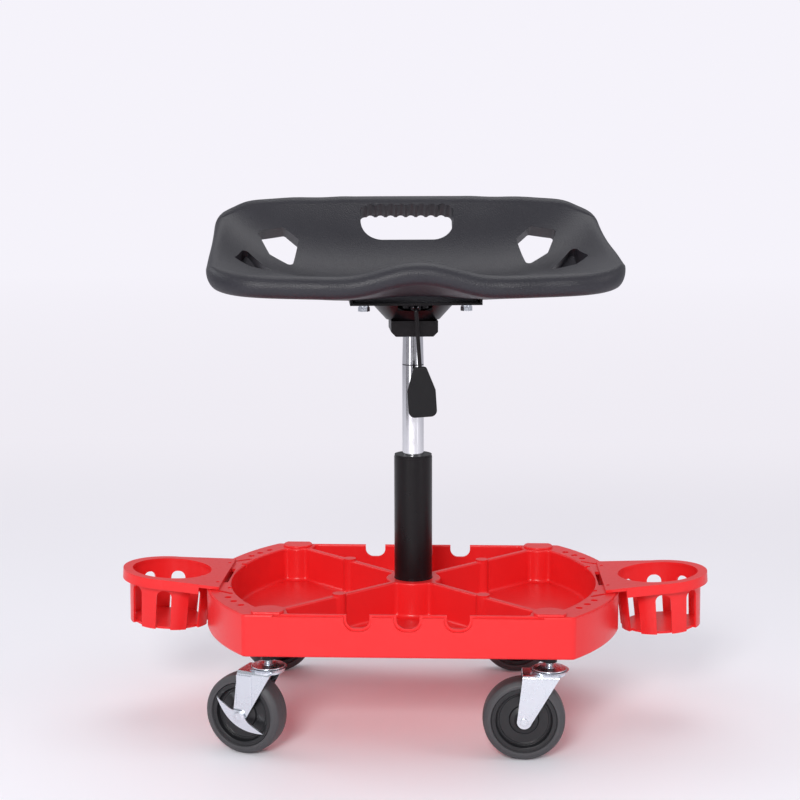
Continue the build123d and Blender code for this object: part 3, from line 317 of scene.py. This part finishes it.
# Black enamel: the column, the base frame, and the pressed parts, bracket screws and lever rod under
# the seat. Sprayed over steel, with a fine orange peel and a faint purple cast.
enamel_dark = (0.0045, 0.0035, 0.0045, 1.0)
enamel_rubbed = (0.0085, 0.0068, 0.0080, 1.0)
enamel_roughness = 0.22
rubbed_roughness = 0.16
enamel_finish = Finish("black_enamel", Specular_IOR_Level=0.24)
orange_peel = enamel_finish.cloud(size=0.0025, detail=2.0)
rubbed = enamel_finish.cloud(size=0.02, detail=6.0, roughness=0.65)
enamel_finish.feed("Base Color", enamel_finish.blend(rubbed, enamel_dark, enamel_rubbed))
enamel_finish.feed("Roughness", enamel_roughness + rubbed_roughness * rubbed)
enamel_finish.feed("Normal", enamel_finish.emboss(orange_peel, depth=0.00004, strength=0.5))
coat(enamel_finish, "base_frame", "column", "taper_socket", "lift_housing", "mount_dish", "seat_plate",
     "lever_bracket", "bracket_screws", "lever_rod")

# Black moulded plastic: the column's guide bush and the lever's paddle.
# Injection moulded, with a fine spark-eroded grain.
black_colour = (0.005, 0.0047, 0.006, 1.0)
black_roughness = 0.36
black_roughness_spread = 0.16
black_finish = Finish("black_moulding", Base_Color=black_colour, Specular_IOR_Level=0.26)
handled = black_finish.cloud(size=0.012, detail=5.0)
black_grain = black_finish.cloud(size=0.0009, detail=2.0)
black_finish.feed("Roughness", black_roughness + black_roughness_spread * handled)
black_finish.feed("Normal", black_finish.emboss(black_grain, depth=0.00006, strength=0.5))
coat(black_finish, "column_bush", "lever_paddle")

# Gas cylinder: hard chrome on a ground tube, with fine rings round it and a trace of grease.
# A dark line of painted shade marks where the straight tube ends and the taper starts.
chrome_colour = (0.78, 0.78, 0.80, 1.0)
# Near-black colour of the painted shade line at the taper.
taper_shade_colour = (0.06, 0.055, 0.06, 1.0)
taper_height = 0.4655
line_core = 0.0004
line_edge = 0.0010
ring_scale = (40.0, 40.0, 9000.0)
chrome_roughness = 0.05
ring_roughness = 0.05
smear_roughness = 0.12
chrome_finish = Finish("hard_chrome", Metallic=1.0)
rings = chrome_finish.node("ShaderNodeMapping", {}, {"Vector": chrome_finish.place(), "Scale": ring_scale})
ground = chrome_finish.cloud(size=1.0, detail=2.0, where=rings)
greasy = chrome_finish.cloud(size=0.03, detail=4.0)
smear = chrome_finish.between(greasy, low=0.55, high=0.8, end=smear_roughness)
level = chrome_finish.node("ShaderNodeSeparateXYZ", {}, {"Vector": chrome_finish.place()}, "Z")
# Painted shade: the chrome turns near black in a narrow band at the taper's height.
painted_taper_shade = chrome_finish.between(abs(level - taper_height), line_core, line_edge, start=1.0, end=0.0)
chrome_finish.feed("Base Color", chrome_finish.blend(painted_taper_shade, chrome_colour, taper_shade_colour))
chrome_finish.feed("Roughness", chrome_roughness + ring_roughness * ground + smear)
chrome_finish.feed("Normal", chrome_finish.emboss(ground, depth=0.00001, strength=0.3))
coat(chrome_finish, "gas_cylinder")

# Zinc plate: the casters' forks, races, axles and pedals, and the nuts, bolts, washers and lever pin.
# It is bright with a faint blue cast, and a wide mottle and a fine drawn grain vary its polish.
zinc_dull = (0.70, 0.735, 0.79, 1.0)
zinc_bright = (0.76, 0.795, 0.845, 1.0)
zinc_roughness = 0.20
mottle_roughness = 0.10
drawn_roughness = 0.05
zinc_finish = Finish("zinc_plate", Metallic=1.0)
mottle = zinc_finish.cloud(size=0.022, detail=3.0)
drawn = zinc_finish.cloud(size=0.0012, detail=2.0)
zinc_finish.feed("Base Color", zinc_finish.blend(mottle, zinc_dull, zinc_bright))
zinc_finish.feed("Roughness", zinc_roughness + mottle_roughness * mottle + drawn_roughness * drawn)
zinc_finish.feed("Normal", zinc_finish.emboss(drawn, depth=0.00001, strength=0.2))
corners = ("front_left", "front_right", "rear_right", "rear_left")
for corner in corners:
    coat(zinc_finish, f"fork_{corner}", f"axle_{corner}")
coat(zinc_finish, "stem_nuts", "stem_washers", "flat_washers", "spring_washers", "seat_bolts",
     "lever_pin")

# Ground steel and brass: the parts inside the lift, the balls of the casters and the seat's inserts.
# They are turned or ground, and little of them shows before the stool is taken apart.
steel_colour = (0.55, 0.55, 0.57, 1.0)
brass_colour = (0.62, 0.46, 0.2, 1.0)
steel_roughness = 0.18
brass_roughness = 0.25
turned_roughness = 0.2
steel_finish = Finish("ground_steel", Base_Color=steel_colour, Metallic=1.0)
ground_marks = steel_finish.cloud(size=0.002, detail=4.0)
steel_finish.feed("Roughness", steel_roughness + turned_roughness * ground_marks)
brass_finish = Finish("brass_insert", Base_Color=brass_colour, Metallic=1.0)
turned_marks = brass_finish.cloud(size=0.002, detail=4.0)
brass_finish.feed("Roughness", brass_roughness + turned_roughness * turned_marks)
coat(steel_finish, "lift_rod", "bearing_washers", "rod_clip", "release_pin")
coat(brass_finish, "bearing_cage", "seat_inserts")
for corner in corners:
    coat(steel_finish, f"balls_{corner}")

# Seat shell: blow-moulded dark polyethylene with a pebble grain all over.
# Wear leaves wide patches a little paler and a little rougher.
seat_dark = (0.016, 0.0155, 0.021, 1.0)
seat_worn = (0.025, 0.0245, 0.032, 1.0)
seat_roughness = 0.38
worn_roughness = 0.12
pebbles_per_metre = 640.0
pebble_softness = 0.6
seat_finish = Finish("seat_moulding", Specular_IOR_Level=0.4)
pebble_inputs = {"Vector": seat_finish.place(), "Scale": pebbles_per_metre, "Smoothness": pebble_softness}
pebbles = seat_finish.node("ShaderNodeTexVoronoi", {"feature": "SMOOTH_F1"}, pebble_inputs)
worn = seat_finish.cloud(size=0.05, detail=4.0)
seat_finish.feed("Base Color", seat_finish.blend(worn, seat_dark, seat_worn))
seat_finish.feed("Roughness", seat_roughness + worn_roughness * worn)
seat_finish.feed("Normal", seat_finish.emboss(pebbles, depth=0.0004, strength=0.8))
coat(seat_finish, "seat_shell")


# Tyres: grey rubber moulded on the wheel, with a crown, round shoulders and a fine parting line.
# Each turns with its wheel about the axle of its caster.
def rounded(corner_points):
    """Closed profile through corners (x, y, radius): each corner becomes an arc that touches both of
    its sides, walked in equal turns from one touching point to the other."""
    arc_steps = 5
    straight_half_angle = 1.56
    stretches = []
    count = len(corner_points)
    for number, (x, y, radius) in enumerate(corner_points):
        here = np.array((x, y))
        before = np.array(corner_points[number - 1][:2]) - here
        after = np.array(corner_points[(number + 1) % count][:2]) - here
        before = before / np.linalg.norm(before)
        after = after / np.linalg.norm(after)
        half_angle = math.acos(float(np.clip(before @ after, -1.0, 1.0))) / 2
        if radius <= 0.0 or half_angle > straight_half_angle:
            stretches.append(here[None])
            continue
        middle = (before + after) / np.linalg.norm(before + after)
        centre = here + middle * radius / math.sin(half_angle)
        first = here + before * radius / math.tan(half_angle) - centre
        last = here + after * radius / math.tan(half_angle) - centre
        turn = math.atan2(first[0] * last[1] - first[1] * last[0], float(first @ last))
        turns = np.linspace(0.0, turn, arc_steps + 1)[:, None]
        sideways = np.array((-first[1], first[0]))
        stretches.append(centre + np.cos(turns) * first + np.sin(turns) * sideways)
    return np.concatenate(stretches)


def spun(name, profile, place, steps):
    """Surface of revolution: a closed profile of (radius, height) pairs is turned round the local Z
    axis in equal steps, then every point is carried by the placing matrix."""
    angle = np.linspace(0.0, 2 * np.pi, steps, endpoint=False)
    points = np.empty((len(profile), steps, 3))
    points[..., 0] = profile[:, :1] * np.cos(angle)
    points[..., 1] = profile[:, :1] * np.sin(angle)
    points[..., 2] = profile[:, 1:2]
    points = points @ np.array(place.to_3x3()).T + np.array(place.translation)
    return surface_piece(name, points, close_rows=True, close_columns=True)


def mirrored(side):
    """A profile's corners on one face from the inside out, then their mirror images on the other face
    from the outside in."""
    return side + [(x, -y, radius) for x, y, radius in reversed(side)]


joints = {joint["name"]: joint for joint in frame["record"]["behaviour"]["joints"]}
wheel_places = {}
for corner in corners:
    joint = joints[f"roll_{corner}"]
    turned = Vector(joint["axis"]).to_track_quat("Z", "X").to_matrix().to_4x4()
    wheel_places[corner] = Matrix.Translation(joint["pos_m"]) @ turned

wheel_steps = 128
tyre_corners = [(0.0401, -0.0136, 0.0004), (0.0410, -0.0160, 0.0006), (0.0446, -0.0159, 0.004),
                (0.0500, -0.0120, 0.005), (0.0507, -0.0030, 0.008), (0.0507, -0.0004, 0.0),
                (0.05078, -0.0001, 0.0)]
tyre_profile = rounded(mirrored(tyre_corners))
tyre_grey = (0.042, 0.041, 0.045, 1.0)
tyre_dusty = (0.066, 0.064, 0.069, 1.0)
tyre_roughness = 0.42
dust_roughness = 0.25
tyre_finish = Finish("grey_rubber")
dust = tyre_finish.cloud(size=0.006, detail=5.0, roughness=0.6)
rubber_grain = tyre_finish.cloud(size=0.0012, detail=3.0)
tyre_finish.feed("Base Color", tyre_finish.blend(dust, tyre_grey, tyre_dusty))
tyre_finish.feed("Roughness", tyre_roughness + dust_roughness * dust)
tyre_finish.feed("Normal", tyre_finish.emboss(rubber_grain, depth=0.00008, strength=0.5))
for corner in corners:
    tyre = spun(f"tyre_tread_{corner}", tyre_profile, wheel_places[corner], wheel_steps)
    tyre.data.materials.append(tyre_finish.material)
    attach(tyre, f"wheel_{corner}")
    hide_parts(f"tyre_{corner}")

# Hubs: black moulded wheels with a raised bead inside the rim, a dished web and a boss on the axle.
# The tyre is moulded over the rim, so each turns with its tyre.
hub_corners = [(0.0042, -0.0154, 0.0003), (0.0086, -0.0154, 0.0006), (0.0120, -0.0118, 0.0015),
               (0.0172, -0.0100, 0.0012), (0.0184, -0.0074, 0.0010), (0.0300, -0.0070, 0.0008),
               (0.0308, -0.0080, 0.0006), (0.0322, -0.0080, 0.0006), (0.0332, -0.0071, 0.0006),
               (0.0348, -0.0136, 0.0008), (0.0399, -0.0139, 0.0004)]
hub_profile = rounded(mirrored(hub_corners))
hub_colour = (0.011, 0.011, 0.013, 1.0)
hub_roughness = 0.26
hub_roughness_spread = 0.2
hub_finish = Finish("wheel_moulding", Base_Color=hub_colour)
hub_patches = hub_finish.cloud(size=0.01, detail=4.0)
hub_grain = hub_finish.cloud(size=0.0015, detail=2.0)
hub_finish.feed("Roughness", hub_roughness + hub_roughness_spread * hub_patches)
hub_finish.feed("Normal", hub_finish.emboss(hub_grain, depth=0.00005, strength=0.4))
for corner in corners:
    hub = spun(f"wheel_hub_{corner}", hub_profile, wheel_places[corner], wheel_steps)
    hub.data.materials.append(hub_finish.material)
    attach(hub, f"wheel_{corner}")
    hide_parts(f"hub_{corner}")

# Caster stems: each upper race is a zinc-plated pressing with a rolled rim and a low dome, and an
# M10 bolt with a rolled thread stands on it and is fixed in the tray.
race_steps = 72
race_corners = [(0.0, 0.1040, 0.0), (0.0088, 0.1040, 0.0006), (0.0088, 0.1062, 0.0004),
                (0.0050, 0.1062, 0.0), (0.0050, 0.1129, 0.0), (0.0209, 0.1129, 0.0005),
                (0.0209, 0.1143, 0.0006), (0.0150, 0.1150, 0.003), (0.0120, 0.1160, 0.002),
                (0.0060, 0.1162, 0.0008), (0.0, 0.1163, 0.0)]
race_profile = rounded(race_corners)
stem_radius = 0.005
stem_foot = 0.1155
stem_sides = 32
thread_pitch = 0.0015
thread_depth = 0.0006
thread_steps = 8
thread_sharpness = 1.5


def threaded_stem(x, y, foot, top):
    """Threaded rod round the vertical line through (x, y): its reach is the radius less the thread's
    depth times a power of a cosine of the height over the pitch minus the turn, and its ends close."""
    height, turn = np.meshgrid(np.arange(foot, top, thread_pitch / thread_steps),
                               np.linspace(0.0, 2 * np.pi, stem_sides, endpoint=False), indexing="ij")
    groove = 0.5 + 0.5 * np.cos(2 * np.pi * height / thread_pitch - turn)
    reach = stem_radius - thread_depth * groove ** thread_sharpness
    reach[[0, -1]] = 0.0
    return np.stack((x + reach * np.cos(turn), y + reach * np.sin(turn), height), axis=-1)


for corner in corners:
    x, y, _ = joints[f"swivel_{corner}"]["pos_m"]
    stem_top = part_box(f"race_{corner}")[1][2]
    race = spun(f"swivel_race_{corner}", race_profile, Matrix.Translation((x, y, 0.0)), race_steps)
    stem_points = threaded_stem(x, y, stem_foot, stem_top)
    stem = surface_piece(f"stem_bolt_{corner}", stem_points, close_columns=True)
    for piece in (race, stem):
        piece.data.materials.append(zinc_finish.material)
        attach(piece, "base")
        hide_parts(f"race_{corner}")

# Brake pedals: leaf-shaped rockers pressed from zinc-plated sheet, with a dimpled cup over the axle's
# head and a lip along the upper edge for the toe. They hang outside the fork.
leaf_tilt = math.radians(-32.5)
leaf_reach = 0.0382
leaf_shift = 0.0006
leaf_tip_rise = 0.0024
leaf_belly = 0.0148
leaf_hollow = 0.0020
leaf_crest = 0.0066
leaf_crest_spread = 0.0094
leaf_out = 0.0192
leaf_gap = 0.00035
leaf_sheet = 0.0014
leaf_lip = 0.0008
leaf_curl = 0.0005
cup_rise = 0.0021
cup_spread = 0.0064
dimple_depth = 0.0007
dimple_spread = 0.0030
leaf_columns = 81
leaf_rows = 21


def leaf(joint):
    """Leaf shell for a share u from -1 to 1 along it and v from 0 to 1 across it: x is the reach times
    u plus a small shift, and y runs from the lower outline, a parabola, to the upper one, a flatter
    parabola with a bell over the axle. The back rises in a smooth dimpled cup over the axle and curls
    out with u to the fourth power. The front lies one sheet further out, and thickens to its lip with
    v to the eighth power."""
    u, v = np.meshgrid(np.linspace(-1.0, 1.0, leaf_columns),
                       np.linspace(0.0, 1.0, leaf_rows), indexing="ij")
    x = leaf_reach * u + leaf_shift
    low = leaf_tip_rise - leaf_belly * (1 - u ** 2)
    high = leaf_tip_rise - leaf_hollow * (1 - u ** 2) + leaf_crest * np.exp(-(x / leaf_crest_spread) ** 2)
    y = low + (high - low) * v
    from_axle = np.hypot(x, y)
    cup = cup_rise * np.exp(-(from_axle / cup_spread) ** 4)
    dimple = dimple_depth * np.exp(-(from_axle / dimple_spread) ** 4)
    back = leaf_gap + cup - dimple + leaf_curl * u ** 4
    front = back + leaf_sheet + leaf_lip * v ** 8
    along = x * math.cos(leaf_tilt) - y * math.sin(leaf_tilt)
    up = x * math.sin(leaf_tilt) + y * math.cos(leaf_tilt)
    axis = np.array(joint["axis"])
    forward = np.array((axis[1], -axis[0], 0.0))
    upward = np.array((0.0, 0.0, 1.0))
    middle = np.array(joint["pos_m"]) + along[..., None] * forward + up[..., None] * upward
    outer, inner = (middle - (leaf_out + out[..., None]) * axis for out in (front, back))
    return np.concatenate((outer, inner[:, ::-1]), axis=1)


for corner in ("front_left", "rear_right"):
    pedal = surface_piece(f"pedal_leaf_{corner}", leaf(joints[f"brake_{corner}"]), close_columns=True)
    pedal.data.materials.append(zinc_finish.material)
    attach(pedal, f"pedal_{corner}")
    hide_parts(f"brake_pedal_{corner}")
